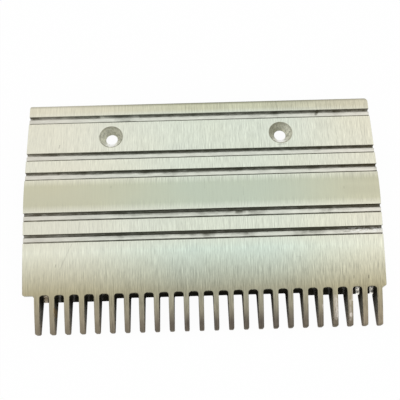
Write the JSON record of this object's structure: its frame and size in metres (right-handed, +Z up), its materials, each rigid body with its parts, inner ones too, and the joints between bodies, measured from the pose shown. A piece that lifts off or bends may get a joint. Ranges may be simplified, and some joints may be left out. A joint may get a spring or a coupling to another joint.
{
  "type": "escalator comb plate",
  "caption": "Cast aluminium comb segment of an escalator: level screw-down deck with full-width grooves, sloping front deck and a row of tapering teeth.",
  "frame": {"origin": "centre of the overall box, on the plane of the underside of the ribs and of the teeth's roots", "axes": "+X to the right when standing on the steps and facing the landing, +Y from the teeth to the rear edge, +Z up out of the level deck"},
  "size_m": [0.207, 0.1352, 0.0245],
  "materials": {
    "deck": "brushed along the run of the steps, satin",
    "band": "smooth, dull, hardly brushed",
    "tooth": "brushed at the root, darker towards the tips, dark sides",
    "cast": "as cast, matt"
  },
  "bodies": {
    "root": {"mounting_deck": "deck", "bend_band": "band", "front_deck": "deck", "root_beam": "deck", "locating_shoulder": "cast", "rib_01": "cast", "rib_02": "cast", "rib_03": "cast", "rib_04": "cast", "rib_05": "cast", "rib_06": "cast", "rib_07": "cast", "rib_08": "cast", "tooth_01": "tooth", "tooth_02": "tooth", "tooth_03": "tooth", "tooth_04": "tooth", "tooth_05": "tooth", "tooth_06": "tooth", "tooth_07": "tooth", "tooth_08": "tooth", "tooth_09": "tooth", "tooth_10": "tooth", "tooth_11": "tooth", "tooth_12": "tooth", "tooth_13": "tooth", "tooth_14": "tooth", "tooth_15": "tooth", "tooth_16": "tooth", "tooth_17": "tooth", "tooth_18": "tooth", "tooth_19": "tooth", "tooth_20": "tooth", "tooth_21": "tooth", "tooth_22": "tooth", "tooth_23": "tooth", "tooth_24": "tooth"}
  },
  "joints": []
}
